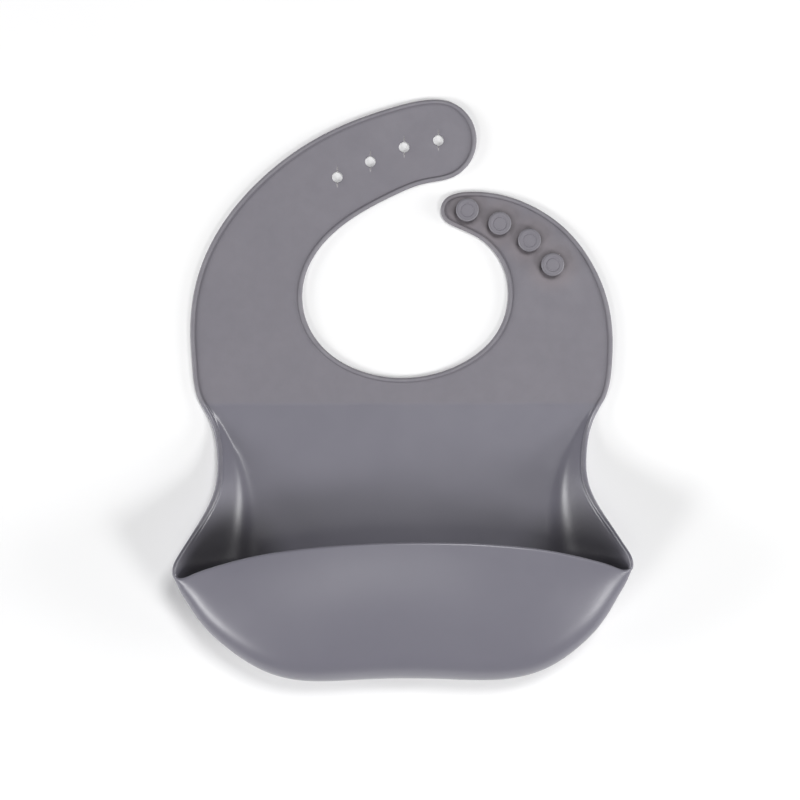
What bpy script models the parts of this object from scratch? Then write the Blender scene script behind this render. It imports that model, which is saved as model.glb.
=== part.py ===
"""Silicone baby bib with a food-catching pocket, lying on its back.

The bib lies flat with its inner side up: +Z is up, +Y runs towards the two neck
straps and +X to the side of the stud strap. The origin is the bottom centre of the
bounding box. Lengths below are in millimetres and become metres when a mesh is made.

The real bib is one moulding of soft silicone. Here the sheet is divided where it
bends: a back panel with its side walls and pocket floor, the pocket front, the collar,
three pieces of the strap with button holes, two of the strap with studs, and the studs.
A moving piece has its origin on the line that it bends about.
"""

import math

import bmesh
import bpy
import numpy as np
from mathutils import Matrix, Vector

MM = 0.001

# Sheet and rim
SHEET = 1.8                # thickness of the silicone
BEAD_RADIUS = 1.25         # half-round rim round the whole edge
BEAD_HEIGHT = 1.5          # height of the rim's centre above the table
PLATE_INSET = 0.6          # how far the flat sheet ends inside the rim's outermost line
GAP = 0.3                  # clearance where two pieces meet
BEND_GAP = 1.0             # clearance between two pieces that bend against each other
OUTLINE_STEP = 5.0         # spacing of the points along an outline

# Lines where the sheet bends: middle of the line, and the direction that the strap runs
BEND_AXIS_HEIGHT = BEAD_HEIGHT + BEAD_RADIUS
PANEL_FOLD_Y = -2.0
HOLE_STRAP_BENDS = (
    ((-77.0, 57.0), 68.0),
    ((-50.5, 99.0), 42.0),
    ((-7.5, 121.5), 20.0),
)
STUD_STRAP_BENDS = (
    ((80.0, 49.5), 96.0),
    ((58.0, 80.8), 150.0),
)
CUT_REACH = 36.0           # how far a cut across a strap reaches to each side
RIM_SHORTER = 0.4          # how far the rim ends short of the sheet at a bend
MIN_STEP = 0.5             # closest that a point of an outline comes to its cut end

# Button holes and studs, counted from the strap's tip
HOLE_DIAMETER = 5.8
HOLE_SIDES = 32
PIECE_NAMES = {3: ("root", "middle", "tip"), 2: ("root", "tip")}
HOLES_OF_PIECE = {("hole_strap", "tip"): (1, 2), ("hole_strap", "middle"): (3, 4)}
PIECE_OF_STUD = {
    1: "stud_strap_tip", 2: "stud_strap_tip", 3: "stud_strap_root", 4: "stud_strap_root",
}
HOLES = ((18.8, 127.1), (1.2, 123.6), (-16.2, 116.2), (-33.2, 108.2))
STUDS = ((33.5, 90.9), (50.1, 84.0), (65.3, 75.4), (77.2, 62.9))
STUD_CAP_RADIUS = 5.9
STUD_CAP_THICKNESS = 2.3
STUD_CAP_EDGE = 0.7        # rounding of the cap's edge
STUD_CAP_HOLLOW = 0.2      # how far the cap's underside rises from the stem to its edge
STUD_RING_RADIUS = 3.35    # sunk ring in the cap's top
STUD_RING_WIDTH = 0.9
STUD_RING_DEPTH = 0.25
STUD_STEM_RADIUS = 2.4
STUD_STEM_LENGTH = 2.6
STUD_SIDES = 24

# Flat outline, from the left hip round the collar and the straps to the right hip
LEFT_EDGE = (
    (-104.4, -7.1), (-107.9, 11.3), (-108.8, 30.0), (-105.0, 57.0), (-93.5, 82.2),
    (-76.0, 103.8), (-54.7, 121.4), (-30.5, 134.8), (-4.4, 144.1),
)
HOLE_TIP = ((17.4, 127.2), 21.0, 100.0, -65.0)     # centre, radius, arc in degrees
NECK_EDGE = (
    (12.2, 104.9), (-5.0, 98.3), (-21.3, 89.6), (-36.1, 78.5), (-47.2, 63.9),
    (-51.3, 46.0), (-46.5, 28.4), (-34.0, 14.9), (-17.4, 7.2), (0.9, 4.8),
    (19.0, 7.6), (35.8, 15.3), (48.7, 28.0), (54.5, 45.5), (51.4, 63.2), (39.3, 76.8),
)
STUD_TIP = ((28.1, 91.2), 8.2, -110.0, -255.0)
RIGHT_EDGE = (
    (35.5, 100.6), (53.8, 98.3), (70.9, 91.2), (85.6, 80.1), (96.8, 65.5),
    (104.5, 48.8), (108.1, 30.6), (108.1, 13.0), (104.4, -5.7),
)

# Right half of the lower part. The left half is its mirror image.
# Rim of the side wall, from the hip at the table up to the pocket's corner
SIDE_RIM = (
    (104.4, -6.4, 0.0), (100.1, -14.4, 1.2), (96.8, -22.9, 3.5), (94.6, -36.0, 8.6),
    (95.2, -49.9, 14.5), (100.1, -61.9, 20.7), (107.0, -73.3, 27.0),
    (112.3, -82.0, 32.3), (114.8, -89.7, 36.0),
)
# Line where the side wall leaves the table
SIDE_FOOT = (
    (104.4, -6.4, 0.0), (97.0, -13.5, 0.0), (90.0, -22.8, 0.0), (82.5, -36.0, 0.0),
    (77.5, -49.0, 0.0), (75.0, -60.0, 0.0), (74.2, -70.0, 0.0), (74.0, -84.0, 0.0),
)
# Outermost line of the pocket, from the corner to the middle of the bottom
POCKET_EQUATOR = (
    (114.8, -89.7, 36.0), (113.3, -96.6, 32.4), (109.4, -104.6, 30.4),
    (99.5, -119.6, 28.0), (86.3, -132.2, 25.8), (71.5, -142.0, 23.6),
    (54.4, -147.5, 21.8), (36.4, -148.5, 20.4), (18.0, -147.7, 20.0), (0.0, -147.3, 20.0),
)
# Line where the pocket's floor leaves the table
POCKET_FOOT = (
    (74.0, -84.0, 0.0), (74.0, -93.0, 0.0), (71.5, -104.0, 0.0), (65.0, -113.5, 0.0),
    (55.5, -121.0, 0.0), (43.0, -125.8, 0.0), (22.0, -127.4, 0.0), (0.0, -127.3, 0.0),
)
# Free edge of the pocket front
POCKET_LIP = (
    (114.8, -89.7, 36.0), (113.6, -91.9, 36.4), (109.8, -91.9, 36.9), (104.0, -90.5, 37.6),
    (95.3, -88.1, 38.6), (84.0, -85.0, 40.0), (71.0, -82.1, 41.7), (58.0, -80.2, 43.2),
    (44.0, -78.7, 44.5), (22.0, -77.4, 45.7), (0.0, -77.0, 46.0),
)
POCKET_HINGE = (0.0, -149.3, 20.0)    # line that the pocket's front swings about
# The soft lower part lies a little askew. Each pair says where a change starts and is full.
SKEW = 0.007               # rise in Y for each X
CORNER_SKEW = 0.012        # and more so at the pocket's corners
CORNER_SKEW_FROM_TOP = (-30.0, -80.0)
CORNER_SKEW_FROM_BOTTOM = (-140.0, -100.0)
RIGHT_SPREAD = 1.0         # how far the pocket's right side spreads out more than the left
SPREAD_OUT_X = (0.0, 90.0)
SPREAD_OUT_Y = (-80.0, -95.0)
SPREAD_DOWN_X = (45.0, 85.0)
SPREAD_DOWN_Y = (-100.0, -130.0)
FILLET_SHARE = 0.45        # share of a side wall's width that is the curve at its foot
ROUNDING_SHARE = 0.28      # share of the pocket's edge over which it becomes a round fold
SHOULDER_WIDTH = 10.0      # widest curve between the pocket's edge and its domed front
SHOULDER_RISE = 0.45       # share of the front's rise that is in that curve
WALL_ROWS = 8              # faces along a rib
SIDE_WALL_RIBS = 16        # ribs of a side wall
POCKET_RIBS = 25           # ribs of one half of the pocket
RIB_CROWDING = 1.15        # how much closer the pocket's ribs stand near its corner
HIP_POINTS = 4             # points of the back panel's outline beside a hip
FOOT_POINTS = 18           # points of the back panel's outline along a side wall
HIP_REACH = 4              # points of the outline, at each end, that cover a hip
FOLD_HALF_WIDTH = 105.0    # half width of the sheet where the collar folds
SIDE_WALL_START = 0.16     # share of the side wall, from the hip, that the back panel has
PANEL_OVERRUN = 0.014      # share left clear between the back panel and the side wall
FLOOR_START = 0.008        # share of the pocket's edge, from the corner, with no floor
FRONT_START = 0.03         # share of the pocket's edge, from the corner, with no front
JAW_GAP = 0.9              # half the slit between the pocket's front and its floor
CORNER_GAP = 2.4           # what the floor ends lower at the corner, where the fold is tight
FOOT_GAP = 0.8             # clearance between the back panel and the walls round it
WALL_RIM_INSET = 1.0       # from a side wall's edge in to the middle of its rim
WALL_RIM_RISE = 1.1        # from a side wall's edge up to the middle of its rim
SHARP_ANGLE = math.radians(40.0)

UPPER_SILICONE = ("silicone_matte", (0.203, 0.194, 0.209), 0.62)
LOWER_SILICONE = ("silicone_satin", (0.188, 0.187, 0.210), 0.45)


# ---------------------------------------------------------------- curves

def lengths_along(line):
    """Length of a line from its start to each of its points."""
    steps = np.linalg.norm(np.diff(line, axis=0), axis=1)
    return np.concatenate(([0.0], np.cumsum(steps)))


def smooth_curve(points, step):
    """Samples, about one step apart, of the natural cubic spline through the points."""
    knots = np.array(points, dtype=float)
    along = lengths_along(knots)
    chord = np.diff(along)
    count = len(knots)
    matrix = np.eye(count)
    target = np.zeros_like(knots)
    for i in range(1, count - 1):
        before, after = chord[i - 1], chord[i]
        matrix[i, i - 1:i + 2] = before, 2.0 * (before + after), after
        target[i] = 6.0 * ((knots[i + 1] - knots[i]) / after - (knots[i] - knots[i - 1]) / before)
    bend = np.linalg.solve(matrix, target)
    at = np.linspace(0.0, along[-1], max(2, round(along[-1] / step) + 1))
    i = np.clip(np.searchsorted(along, at, side="right") - 1, 0, count - 2)
    span = chord[i][:, None]
    left = (along[i + 1] - at)[:, None]
    right = (at - along[i])[:, None]
    cubic = (bend[i] * left**3 + bend[i + 1] * right**3) / (6.0 * span)
    lower = (knots[i] / span - bend[i] * span / 6.0) * left
    upper = (knots[i + 1] / span - bend[i + 1] * span / 6.0) * right
    return cubic + lower + upper


def shares(curve, fractions):
    """Points of a sampled curve at the given shares of its length."""
    along = lengths_along(curve)
    at = np.asarray(fractions) * along[-1]
    return np.stack([np.interp(at, along, curve[:, k]) for k in range(curve.shape[1])], axis=1)


def arc(centre, radius, start, end, count=6):
    """Points of an arc, its angles in degrees."""
    angles = np.radians(np.linspace(start, end, count))
    return [(centre[0] + radius * math.cos(a), centre[1] + radius * math.sin(a)) for a in angles]


def mirrored(points):
    """The points on the other side of the bib's middle line."""
    moved = np.array(points, dtype=float)
    moved[..., 0] *= -1.0
    return moved


def smoothstep(x):
    x = np.clip(x, 0.0, 1.0)
    return x * x * (3.0 - 2.0 * x)


def ramp(values, ends):
    """Shares that grow smoothly from 0 at the first end to 1 at the second."""
    return smoothstep((values - ends[0]) / (ends[1] - ends[0]))


def skewed(points):
    """The points of the lower part, moved askew and out on the right as the soft bib lies."""
    moved = np.array(points, dtype=float)
    x, y = moved[..., 0].copy(), moved[..., 1].copy()
    at_corner = ramp(y, CORNER_SKEW_FROM_TOP) * ramp(y, CORNER_SKEW_FROM_BOTTOM)
    moved[..., 0] += RIGHT_SPREAD * ramp(x, SPREAD_OUT_X) * ramp(y, SPREAD_OUT_Y)
    moved[..., 1] += (SKEW + CORNER_SKEW * at_corner) * x
    moved[..., 1] -= RIGHT_SPREAD * ramp(x, SPREAD_DOWN_X) * ramp(y, SPREAD_DOWN_Y)
    return moved


def flat_outline():
    """Closed outline of the collar and straps, down to the line between the hips."""
    points = (
        list(LEFT_EDGE) + arc(*HOLE_TIP) + list(NECK_EDGE) + arc(*STUD_TIP) + list(RIGHT_EDGE)
    )
    return smooth_curve(points, OUTLINE_STEP)


def panel_edge():
    """Right edge of the flat back panel: the hip's rim, then the foot of the walls."""
    start = SIDE_WALL_START - PANEL_OVERRUN
    hip = shares(smooth_curve(SIDE_RIM, 1.0), np.linspace(0.0, start, HIP_POINTS))
    side_foot = shares(smooth_curve(SIDE_FOOT, 1.0), np.linspace(start, 1.0, FOOT_POINTS))
    pocket_foot = smooth_curve(POCKET_FOOT, OUTLINE_STEP)
    foot = inward(np.concatenate((side_foot, pocket_foot[1:])), FOOT_GAP)
    return np.concatenate((hip[:, :2], foot))


# ---------------------------------------------------------------- ribs of the lower part

def rising_rib(foot, edge, roundness):
    """Section from the table at the foot up to the edge: a curve, then a slope or a round."""
    reach = np.sin(np.linspace(0.0, math.pi / 2.0, WALL_ROWS + 1))
    share = FILLET_SHARE
    slope = 1.0 / (1.0 - share / 2.0)
    fillet = np.where(reach < share, slope * reach**2 / (2.0 * share), slope * (reach - share / 2.0))
    fold = 1.0 - np.sqrt(1.0 - reach**2)
    height = (1.0 - roundness) * fillet + roundness * fold
    rib = foot + (edge - foot) * reach[:, None]
    rib[:, 2] = edge[2] * height
    return rib


def front_rib(edge, lip):
    """Section from the pocket's edge over the shoulder and along the front to the lip."""
    length = math.hypot(*(lip - edge)[:2])
    rise = lip[2] - edge[2]
    width = length * SHOULDER_WIDTH / (length + SHOULDER_WIDTH)
    half = WALL_ROWS // 2
    turn = np.linspace(0.0, math.pi / 2.0, half + 1)
    shoulder = width * (1.0 - np.cos(turn))
    flat = np.linspace(width, length, WALL_ROWS - half + 1)[1:]
    reach = np.concatenate((shoulder, flat))
    lift = np.concatenate((np.sin(turn), np.ones(len(flat))))
    dome = np.sin(reach / length * math.pi / 2.0)
    rib = edge + (lip - edge) * (reach / length)[:, None]
    rib[:, 2] = edge[2] + rise * (SHOULDER_RISE * lift + (1.0 - SHOULDER_RISE) * dome)
    return rib


def trimmed(rib, start, end):
    """A rib shortened by the given lengths at its two ends, with as many points."""
    along = lengths_along(rib)
    at = start + (along[-1] - start - end) * along / along[-1]
    return np.stack([np.interp(at, along, rib[:, k]) for k in range(3)], axis=1)


def side_wall_ribs():
    rim = smooth_curve(SIDE_RIM, 1.0)
    foot = smooth_curve(SIDE_FOOT, 1.0)
    fractions = np.linspace(SIDE_WALL_START, 1.0, SIDE_WALL_RIBS)
    edges = shares(rim, fractions)
    feet = shares(foot, fractions)
    return np.array([rising_rib(f, e, 0.0) for f, e in zip(feet, edges)])


def pocket_lines(fractions):
    """Foot, edge and lip of the right half of the pocket at the given shares."""
    lines = (POCKET_FOOT, POCKET_EQUATOR, POCKET_LIP)
    return [shares(smooth_curve(line, 1.0), fractions) for line in lines]


def both_halves(ribs):
    """Ribs from the right corner to the middle, carried on to the left corner."""
    return np.concatenate((ribs, mirrored(ribs)[-2::-1]))


def pocket_fractions(start):
    """Where the ribs of one half of the pocket stand, as shares of its edge."""
    return start + (1.0 - start) * np.linspace(0.0, 1.0, POCKET_RIBS) ** RIB_CROWDING


def pocket_floor_ribs():
    fractions = pocket_fractions(FLOOR_START)
    feet, edges, _ = pocket_lines(fractions)
    roundness = smoothstep(fractions / ROUNDING_SHARE)
    ends = JAW_GAP + CORNER_GAP * (1.0 - roundness)
    ribs = [
        trimmed(rising_rib(foot, edge, part), 0.0, end)
        for foot, edge, part, end in zip(feet, edges, roundness, ends)
    ]
    return both_halves(np.array(ribs))


def pocket_front_ribs():
    fractions = pocket_fractions(FRONT_START)
    _, edges, lips = pocket_lines(fractions)
    ribs = [trimmed(front_rib(*parts), JAW_GAP, 0.0) for parts in zip(edges, lips)]
    return both_halves(np.array(ribs))


# ---------------------------------------------------------------- making objects

def collection(name):
    made = bpy.data.collections.new(name)
    bpy.context.scene.collection.children.link(made)
    return made


def material(name, colour, roughness):
    made = bpy.data.materials.new(name)
    made.use_nodes = True
    shader = made.node_tree.nodes["Principled BSDF"]
    shader.inputs["Base Color"].default_value = (*colour, 1.0)
    shader.inputs["Roughness"].default_value = roughness
    shader.inputs["Metallic"].default_value = 0.0
    return made


def world_origin(thing):
    """World place of an object's origin. No object here is turned or scaled."""
    if thing.parent:
        return thing.location + world_origin(thing.parent)
    return thing.location.copy()


def place(name, mesh, home, finish, at=(0.0, 0.0, 0.0), parent=None):
    """An object at a place in the world, under its parent, with its mesh round its origin."""
    mesh.materials.clear()
    mesh.materials.append(finish)
    mesh.shade_smooth()
    mesh.set_sharp_from_angle(angle=SHARP_ANGLE)
    thing = bpy.data.objects.new(name, mesh)
    home.objects.link(thing)
    thing.location = Vector(at) * MM
    if parent:
        thing.parent = parent
        thing.location -= world_origin(parent)
    return thing


def place_hinged(name, mesh, home, finish, hinge, parent=None):
    """A moving piece: its mesh is in world coordinates, and its origin goes to its hinge."""
    mesh.transform(Matrix.Translation(-Vector(hinge) * MM))
    return place(name, mesh, home, finish, hinge, parent)


def curve_mesh(curve):
    """Turns a curve object's data into a closed mesh and removes the curve."""
    holder = bpy.data.objects.new("guide", curve)
    bpy.context.scene.collection.objects.link(holder)
    evaluated = holder.evaluated_get(bpy.context.evaluated_depsgraph_get())
    mesh = bpy.data.meshes.new_from_object(evaluated)
    bpy.data.objects.remove(holder)
    bpy.data.curves.remove(curve)
    work = bmesh.new()
    work.from_mesh(mesh)
    bmesh.ops.remove_doubles(work, verts=work.verts, dist=1e-6)
    bmesh.ops.recalc_face_normals(work, faces=work.faces)
    work.to_mesh(mesh)
    work.free()
    return mesh


def add_spline(curve, points, closed):
    spline = curve.splines.new("POLY")
    spline.points.add(len(points) - 1)
    for point, place_at in zip(spline.points, points):
        x, y, z = (list(place_at) + [0.0])[:3]
        point.co = (x * MM, y * MM, z * MM, 1.0)
    spline.use_cyclic_u = closed


def slab(loops, bottom, top):
    """A flat plate whose outline is the first loop, with the other loops as holes in it."""
    curve = bpy.data.curves.new("outline", "CURVE")
    curve.dimensions = "2D"
    curve.fill_mode = "BOTH"
    curve.extrude = (top - bottom) / 2.0 * MM
    for loop in loops:
        add_spline(curve, loop, closed=True)
    mesh = curve_mesh(curve)
    for vertex in mesh.vertices:
        vertex.co.z += (top + bottom) / 2.0 * MM
    return mesh


def bead(lines):
    """The round rim along each of the lines."""
    curve = bpy.data.curves.new("rim", "CURVE")
    curve.dimensions = "3D"
    curve.bevel_depth = BEAD_RADIUS * MM
    curve.bevel_resolution = 2
    curve.use_fill_caps = True
    for line in lines:
        add_spline(curve, line, closed=False)
    return curve_mesh(curve)


def shell(ribs, inner_side):
    """A sheet of even thickness on one side of the surface through the ribs."""
    mesh = bpy.data.meshes.new("shell")
    rows = ribs.shape[1]
    faces = []
    for i in range(len(ribs) - 1):
        for j in range(rows - 1):
            corner = i * rows + j
            faces.append((corner, corner + 1, corner + rows + 1, corner + rows))
    mesh.from_pydata((ribs.reshape(-1, 3) * MM).tolist(), [], faces)
    thing = bpy.data.objects.new("shell", mesh)
    bpy.context.scene.collection.objects.link(thing)
    thick = thing.modifiers.new("sheet", "SOLIDIFY")
    thick.thickness = SHEET * MM
    thick.offset = inner_side
    thick.use_even_offset = True
    return applied(thing)


def applied(thing):
    """The mesh of an object with its modifiers, in place of the object."""
    evaluated = thing.evaluated_get(bpy.context.evaluated_depsgraph_get())
    mesh = bpy.data.meshes.new_from_object(evaluated)
    bpy.data.objects.remove(thing)
    work = bmesh.new()
    work.from_mesh(mesh)
    bmesh.ops.recalc_face_normals(work, faces=work.faces)
    work.to_mesh(mesh)
    work.free()
    return mesh


def union(first, second):
    """One closed mesh of two that overlap."""
    tool = bpy.data.objects.new("tool", second)
    thing = bpy.data.objects.new("piece", first)
    for each in (tool, thing):
        bpy.context.scene.collection.objects.link(each)
    change = thing.modifiers.new("change", "BOOLEAN")
    change.operation = "UNION"
    change.object = tool
    mesh = applied(thing)
    bpy.data.objects.remove(tool)
    return mesh


# ---------------------------------------------------------------- dividing the flat sheet

def crossings(line, cut):
    """Lengths along the outline, first and last, at which a cut across a strap meets it."""
    middle, run = cut
    across = np.array((run[1], -run[0]))
    past = (line - middle) @ run
    aside = (line - middle) @ across
    along = lengths_along(line)
    found = []
    for i in np.nonzero(past[:-1] * past[1:] < 0.0)[0]:
        share = past[i] / (past[i] - past[i + 1])
        if abs(aside[i] + share * (aside[i + 1] - aside[i])) < CUT_REACH:
            found.append(along[i] + share * (along[i + 1] - along[i]))
    return found[0], found[-1]


def stretch(line, start, end):
    """The part of a line between two lengths along it."""
    along = lengths_along(line)
    inside = line[(along > start + MIN_STEP) & (along < end - MIN_STEP)]
    ends = [[np.interp(at, along, line[:, k]) for k in range(2)] for at in (start, end)]
    return np.array([ends[0], *inside, ends[1]])


def strap_cut(bend, shift):
    """A cut across a strap: a point and the strap's direction, moved along the strap."""
    middle, heading = bend
    angle = math.radians(heading)
    run = np.array((math.cos(angle), math.sin(angle)))
    return np.array(middle) + run * shift, run


def strap_stretches(line, bends, number, shift):
    """The stretches of outline of one piece of a strap, between its bend and the next."""
    near_start, near_end = crossings(line, strap_cut(bends[number], shift))
    if number + 1 == len(bends):
        return [stretch(line, near_start, near_end)]
    far_start, far_end = crossings(line, strap_cut(bends[number + 1], -shift))
    return [stretch(line, near_start, far_start), stretch(line, far_end, near_end)]


def collar_stretches(line, shift):
    """The stretches of outline of the collar: left edge, neck and right edge."""
    fold = (np.array((0.0, PANEL_FOLD_Y + shift)), np.array((0.0, 1.0)))
    along = lengths_along(line)
    hips = []
    for part in (line[:HIP_REACH], line[-HIP_REACH:]):
        hips.append(np.array([np.interp(fold[0][1], *sorted_columns(part)), fold[0][1]]))
    start = along[0] + np.linalg.norm(hips[0] - line[0])
    end = along[-1] - np.linalg.norm(hips[1] - line[-1])
    hole_start, hole_end = crossings(line, strap_cut(HOLE_STRAP_BENDS[0], -shift))
    stud_start, stud_end = crossings(line, strap_cut(STUD_STRAP_BENDS[0], -shift))
    return [
        stretch(line, start, hole_start),
        stretch(line, hole_end, stud_start),
        stretch(line, stud_end, end),
    ]


def sorted_columns(points):
    order = np.argsort(points[:, 1])
    return points[order, 1], points[order, 0]


# ---------------------------------------------------------------- the sub-parts

def rimmed_sheet(stretches_of, holes=()):
    """A flat piece with the rim along its stretches of outline, and with button holes."""
    outline = flat_outline()
    plate_outline = np.concatenate(stretches_of(inward(outline, PLATE_INSET), BEND_GAP / 2.0))
    loops = [plate_outline] + [arc(at, HOLE_DIAMETER / 2.0, 0.0, 360.0, HOLE_SIDES + 1)[:-1]
                               for at in holes]
    rim_lines = stretches_of(inward(outline, BEAD_RADIUS), BEND_GAP / 2.0 + RIM_SHORTER)
    rims = bead([[(x, y, BEAD_HEIGHT) for x, y in line] for line in rim_lines])
    return union(slab(loops, 0.0, SHEET), rims)


def inward(line, distance):
    """A line moved to its right-hand side by a distance, in the plan."""
    run = np.gradient(line[:, :2], axis=0)
    run /= np.linalg.norm(run, axis=1)[:, None]
    return line[:, :2] + distance * np.stack((run[:, 1], -run[:, 0]), axis=1)


def back_panel():
    right = panel_edge()
    top = PANEL_FOLD_Y - BEND_GAP / 2.0
    edge = skewed(np.concatenate((right, mirrored(right)[-2::-1])))
    return slab([[(-FOLD_HALF_WIDTH, top), (FOLD_HALF_WIDTH, top), *edge]], 0.0, SHEET)


def side_wall(side):
    ribs = side_wall_ribs()
    rim = ribs[:, -1].copy()
    rim[:, 0] -= WALL_RIM_INSET
    rim[:, 2] += WALL_RIM_RISE
    if side < 0:
        ribs = mirrored(ribs)
        rim = mirrored(rim)
    wall = shell(skewed(ribs), -side)
    return union(wall, bead([skewed(rim)]))


def stud_mesh():
    """Mushroom stud turned about its own upright axis, its foot at the origin."""
    bottom = STUD_STEM_LENGTH
    top = bottom + STUD_CAP_THICKNESS
    ring_floor = top - STUD_RING_DEPTH
    outer = STUD_RING_WIDTH / 2.0      # half the ring's width at the top, and at its floor
    inner = STUD_RING_WIDTH / 6.0
    radius = STUD_CAP_RADIUS
    edge = STUD_CAP_EDGE
    profile = (
        (0.0, top), (STUD_RING_RADIUS - outer, top), (STUD_RING_RADIUS - inner, ring_floor),
        (STUD_RING_RADIUS + inner, ring_floor), (STUD_RING_RADIUS + outer, top),
        (radius - edge, top), (radius, top - edge),
        (radius, bottom + edge), (radius - edge, bottom + STUD_CAP_HOLLOW),
        (STUD_STEM_RADIUS, bottom), (STUD_STEM_RADIUS, 0.0), (0.0, 0.0),
    )
    mesh = bpy.data.meshes.new("stud")
    points = [(out * MM, 0.0, height * MM) for out, height in profile]
    mesh.from_pydata(points, [(i, i + 1) for i in range(len(points) - 1)], [])
    thing = bpy.data.objects.new("stud_profile", mesh)
    bpy.context.scene.collection.objects.link(thing)
    turn = thing.modifiers.new("turn", "SCREW")
    turn.steps = STUD_SIDES
    turn.render_steps = STUD_SIDES
    turn.use_merge_vertices = True
    turn.merge_threshold = 1e-6
    return applied(thing)


def main():
    for thing in list(bpy.data.objects):
        bpy.data.objects.remove(thing)
    home = collection("silicone_bib")
    matte = material(*UPPER_SILICONE)
    satin = material(*LOWER_SILICONE)

    collar = place_hinged("collar", rimmed_sheet(collar_stretches), home, matte,
                          (0.0, PANEL_FOLD_Y, BEND_AXIS_HEIGHT))
    pieces = {"collar": collar}
    for strap, bends in (("hole_strap", HOLE_STRAP_BENDS), ("stud_strap", STUD_STRAP_BENDS)):
        before = collar
        for number, part_name in enumerate(PIECE_NAMES[len(bends)]):
            def stretches_of(line, shift):
                return strap_stretches(line, bends, number, shift)
            holes = HOLES_OF_PIECE.get((strap, part_name), ())
            mesh = rimmed_sheet(stretches_of, [HOLES[i - 1] for i in holes])
            hinge = (*bends[number][0], BEND_AXIS_HEIGHT)
            name = f"{strap}_{part_name}"
            before = place_hinged(name, mesh, home, matte, hinge, before)
            pieces[name] = before

    stud = stud_mesh()
    for number, (x, y) in enumerate(STUDS, start=1):
        place(f"stud_{number}", stud, home, matte, (x, y, SHEET + GAP), pieces[PIECE_OF_STUD[number]])

    place("back_panel", back_panel(), home, satin)
    place("right_side_wall", side_wall(1.0), home, satin)
    place("left_side_wall", side_wall(-1.0), home, satin)
    place("pocket_floor", shell(skewed(pocket_floor_ribs()), -1.0), home, satin)
    place_hinged("pocket_front", shell(skewed(pocket_front_ribs()), -1.0), home, satin, POCKET_HINGE)


main()
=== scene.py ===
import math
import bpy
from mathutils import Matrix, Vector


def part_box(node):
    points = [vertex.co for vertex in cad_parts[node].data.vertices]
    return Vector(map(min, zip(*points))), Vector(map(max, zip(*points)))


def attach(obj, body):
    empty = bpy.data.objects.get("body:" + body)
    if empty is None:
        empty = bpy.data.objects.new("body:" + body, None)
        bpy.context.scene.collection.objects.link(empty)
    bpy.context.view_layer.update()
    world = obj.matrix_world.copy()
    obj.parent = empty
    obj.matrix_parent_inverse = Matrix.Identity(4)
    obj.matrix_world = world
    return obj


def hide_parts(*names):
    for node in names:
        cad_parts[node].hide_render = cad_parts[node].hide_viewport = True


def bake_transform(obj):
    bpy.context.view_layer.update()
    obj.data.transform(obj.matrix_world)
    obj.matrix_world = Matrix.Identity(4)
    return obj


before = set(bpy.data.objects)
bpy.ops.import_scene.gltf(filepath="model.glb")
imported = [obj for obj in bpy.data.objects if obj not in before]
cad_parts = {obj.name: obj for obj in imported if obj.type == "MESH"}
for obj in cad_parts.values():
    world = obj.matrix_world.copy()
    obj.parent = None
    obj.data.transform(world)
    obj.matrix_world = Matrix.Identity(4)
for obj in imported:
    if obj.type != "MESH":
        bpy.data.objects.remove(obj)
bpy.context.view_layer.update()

# Looks of the silicone bib, around the imported CAD model.
#
# The visible bib is one soft sheet. Its back surface is built once, as a flat part and as
# ribs that rise from it round the pocket. It then gets its thickness and the round rim along
# its edge. It is cut where it stays straight, into pieces that each span one joint.
# Lengths are in millimetres, and become metres when a mesh is made.

from types import SimpleNamespace

import bmesh
import bpy
import numpy as np
from mathutils import Matrix, Vector
from mathutils.geometry import delaunay_2d_cdt

MM = 0.001
UP = (0.0, 0.0, 1.0)

# ---- sizes of the sheet

SHEET = 1.8                # thickness of the silicone
STATION_STEP = 1.7         # spacing of the stations along the edge
CORNER_STEP = 0.7          # and near the pocket's corners, where the edge turns back
CORNER_NEAR = 10.0         # how far the fine spacing reaches from a corner
ROW_STEP = 1.5             # spacing of the rows along a rib
LATTICE_STEP = 2.8         # spacing of the points inside the flat part
LATTICE_CLEAR = 1.68       # and their least distance from its lines
CURVE_STEP = 0.25          # spacing of the samples of a curve
RIB_SAMPLES = 120
SOFTNESS = 2.0             # how far the silicone rounds its creases, along a rib
SOFTNESS_ACROSS = 1.5      # the same across the ribs, in stations
SHORTEST_BLURRED = 0.125   # spacing of a rib's samples, below which it is too short to round

# Section of the rim: distance from the edge, underside and top, above the sheet's back.
RIM_DISTANCE = np.array((0.0, 0.05, 0.15, 0.4, 0.85, 1.35, 1.8, 2.12, 2.3, 2.48, 2.75, 3.6))
RIM_BOTTOM = np.array((1.25, 0.7, 0.42, 0.2, 0.05, 0.0, 0.0, 0.0, 0.0, 0.0, 0.0, 0.0))
RIM_TOP = np.array((1.25, 1.8, 2.1, 2.42, 2.68, 2.75, 2.68, 2.42, 1.75, 1.6, 1.78, 1.8))
BAND = RIM_DISTANCE[-1]    # width of the band along the edge that the section covers
FLATTEST_CROSSING = 0.6    # where a rib meets the edge at a slant, the band widens up to this sine
PARTING_RISE = 1.2         # the mould's parting line, along a rib from its outermost point
FAR = 360.0                # stands for no parting line near
LIP_FADE = (-42.0, -12.0)  # where the rim thins out into the lip, from the corner

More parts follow.
